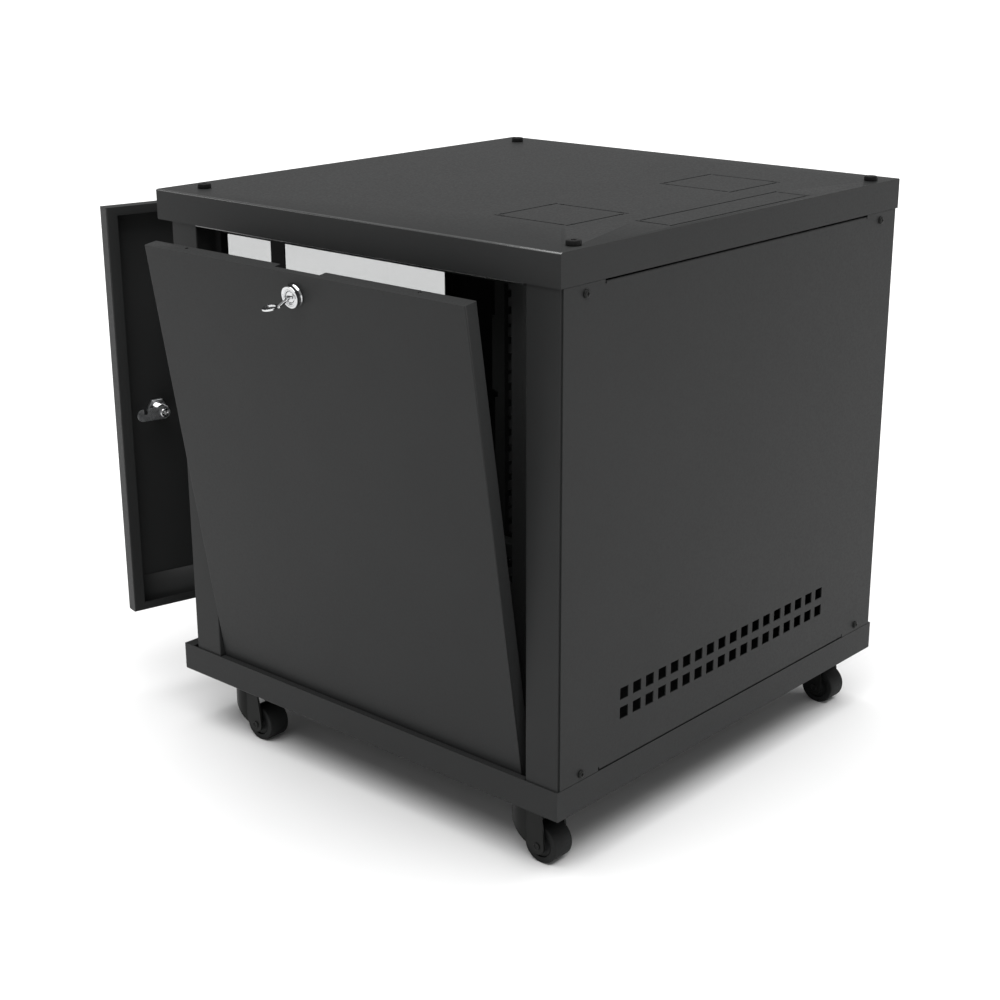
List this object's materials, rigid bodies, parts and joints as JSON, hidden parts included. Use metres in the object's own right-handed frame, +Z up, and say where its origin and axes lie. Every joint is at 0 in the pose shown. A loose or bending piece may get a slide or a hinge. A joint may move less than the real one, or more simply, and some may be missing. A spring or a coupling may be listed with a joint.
{
  "type": "network server rack cabinet",
  "caption": "Free-standing sheet-steel network cabinet on swivel casters, with a glazed hinged door, tilt-off side panels, vented rear panel and 19-inch rack rails.",
  "frame": {"origin": "centre of the base tray's flat underside, 66 mm above the floor the casters stand on", "axes": "+Z up, +Y from the front door to the rear panel, +X to the right as seen from the front"},
  "size_m": [0.6674, 0.6874, 0.6204],
  "materials": {
    "graphite_paint": "fine-texture matt graphite powder coat",
    "rail_paint": "satin black powder coat",
    "black_steel": "black plated and painted steel",
    "chrome": "polished",
    "zinc": "zinc plated",
    "smoked_glass": "lightly tinted safety glass",
    "bolt_cap": "black",
    "wheel_plastic": "black nylon with a rubber tread"
  },
  "bodies": {
    "cabinet": {"top_cover": "graphite_paint", "base_tray": "graphite_paint", "front_post_right": "graphite_paint", "front_post_left": "graphite_paint", "rear_post_right": "graphite_paint", "rear_post_left": "graphite_paint", "top_cross_member_right": "rail_paint", "top_cross_member_left": "rail_paint", "middle_cross_member_right": "rail_paint", "middle_cross_member_left": "rail_paint", "panel_sill_right": "rail_paint", "panel_sill_left": "rail_paint", "front_rack_rail_right": "rail_paint", "front_rack_rail_left": "rail_paint", "rear_rack_rail_right": "rail_paint", "rear_rack_rail_left": "rail_paint", "rear_panel": "graphite_paint", "rear_screw_top_right": "black_steel", "rear_screw_top_left": "black_steel", "rear_screw_bottom_right": "black_steel", "rear_screw_bottom_left": "black_steel", "cover_bolt_front_right": "bolt_cap", "cover_bolt_front_left": "bolt_cap", "cover_bolt_rear_right": "bolt_cap", "cover_bolt_rear_left": "bolt_cap", "caster_plate_front_right": "black_steel", "caster_plate_front_left": "black_steel", "caster_plate_rear_right": "black_steel", "caster_plate_rear_left": "black_steel"},
    "front_door": {"door_frame": "graphite_paint", "door_glass": "smoked_glass", "hinge_pin_bottom": "zinc", "hinge_pin_top": "zinc", "door_lock_housing": "chrome", "door_lock_nut": "zinc"},
    "door_latch": {"door_lock_plug": "chrome", "door_lock_cam": "zinc"},
    "right_panel": {"side_panel_right": "graphite_paint", "right_lock_housing": "chrome", "right_lock_nut": "zinc"},
    "right_latch": {"right_lock_plug": "chrome", "right_lock_cam": "zinc"},
    "key": {"right_key": "chrome"},
    "left_panel": {"side_panel_left": "graphite_paint", "left_lock_housing": "chrome", "left_lock_nut": "zinc"},
    "left_latch": {"left_lock_plug": "chrome", "left_lock_cam": "zinc"},
    "caster_swivel_front_right": {"caster_fork_front_right": "black_steel", "caster_axle_front_right": "zinc"},
    "caster_roller_front_right": {"caster_wheel_front_right": "wheel_plastic"},
    "caster_swivel_front_left": {"caster_fork_front_left": "black_steel", "caster_axle_front_left": "zinc"},
    "caster_roller_front_left": {"caster_wheel_front_left": "wheel_plastic"},
    "caster_swivel_rear_right": {"caster_fork_rear_right": "black_steel", "caster_axle_rear_right": "zinc"},
    "caster_roller_rear_right": {"caster_wheel_rear_right": "wheel_plastic"},
    "caster_swivel_rear_left": {"caster_fork_rear_left": "black_steel", "caster_axle_rear_left": "zinc"},
    "caster_roller_rear_left": {"caster_wheel_rear_left": "wheel_plastic"}
  },
  "joints": [
    {"name": "door_hinge", "type": "hinge", "parent": "cabinet", "child": "front_door", "pos_m": [-0.276, -0.272, 0.274], "axis": [0, 0, -1], "range_deg": [-13.4, 106.6]},
    {"name": "door_latch_turn", "type": "hinge", "parent": "front_door", "child": "door_latch", "pos_m": [0.21627, -0.39555, 0.274], "axis": [0.2317, 0.9728, 0], "range_deg": [-90, 0]},
    {"name": "right_panel_tilt", "type": "hinge", "parent": "cabinet", "child": "right_panel", "pos_m": [0.2758, 0.0051, 0.024], "axis": [0, 1, 0], "range_deg": [-8.91, 0]},
    {"name": "right_latch_turn", "type": "hinge", "parent": "right_panel", "child": "right_latch", "pos_m": [0.34799, 0.0051, 0.48448], "axis": [-0.9879, 0, 0.1549], "range_deg": [-90, 0]},
    {"name": "key_pull", "type": "slide", "parent": "right_latch", "child": "key", "axis": [0.9879, 0, -0.1549], "range_m": [0, 0.03]},
    {"name": "left_panel_tilt", "type": "hinge", "parent": "cabinet", "child": "left_panel", "pos_m": [-0.2758, 0.0051, 0.024], "axis": [0, -1, 0], "range_deg": [0, 8.91]},
    {"name": "left_latch_turn", "type": "hinge", "parent": "left_panel", "child": "left_latch", "pos_m": [-0.2758, 0.0051, 0.4901], "axis": [-1, 0, 0], "range_deg": [0, 90]},
    {"name": "caster_swivel_front_right", "type": "hinge", "parent": "cabinet", "child": "caster_swivel_front_right", "pos_m": [0.251, -0.201, -0.008], "axis": [0, 0, 1], "continuous": true},
    {"name": "wheel_spin_front_right", "type": "hinge", "parent": "caster_swivel_front_right", "child": "caster_roller_front_right", "pos_m": [0.251, -0.179, -0.046], "axis": [1, 0, 0], "continuous": true},
    {"name": "caster_swivel_front_left", "type": "hinge", "parent": "cabinet", "child": "caster_swivel_front_left", "pos_m": [-0.251, -0.201, -0.008], "axis": [0, 0, 1], "continuous": true},
    {"name": "wheel_spin_front_left", "type": "hinge", "parent": "caster_swivel_front_left", "child": "caster_roller_front_left", "pos_m": [-0.251, -0.179, -0.046], "axis": [1, 0, 0], "continuous": true},
    {"name": "caster_swivel_rear_right", "type": "hinge", "parent": "cabinet", "child": "caster_swivel_rear_right", "pos_m": [0.251, 0.217, -0.008], "axis": [0, 0, 1], "continuous": true},
    {"name": "wheel_spin_rear_right", "type": "hinge", "parent": "caster_swivel_rear_right", "child": "caster_roller_rear_right", "pos_m": [0.251, 0.239, -0.046], "axis": [1, 0, 0], "continuous": true},
    {"name": "caster_swivel_rear_left", "type": "hinge", "parent": "cabinet", "child": "caster_swivel_rear_left", "pos_m": [-0.251, 0.217, -0.008], "axis": [0, 0, 1], "continuous": true},
    {"name": "wheel_spin_rear_left", "type": "hinge", "parent": "caster_swivel_rear_left", "child": "caster_roller_rear_left", "pos_m": [-0.251, 0.239, -0.046], "axis": [1, 0, 0], "continuous": true}
  ]
}
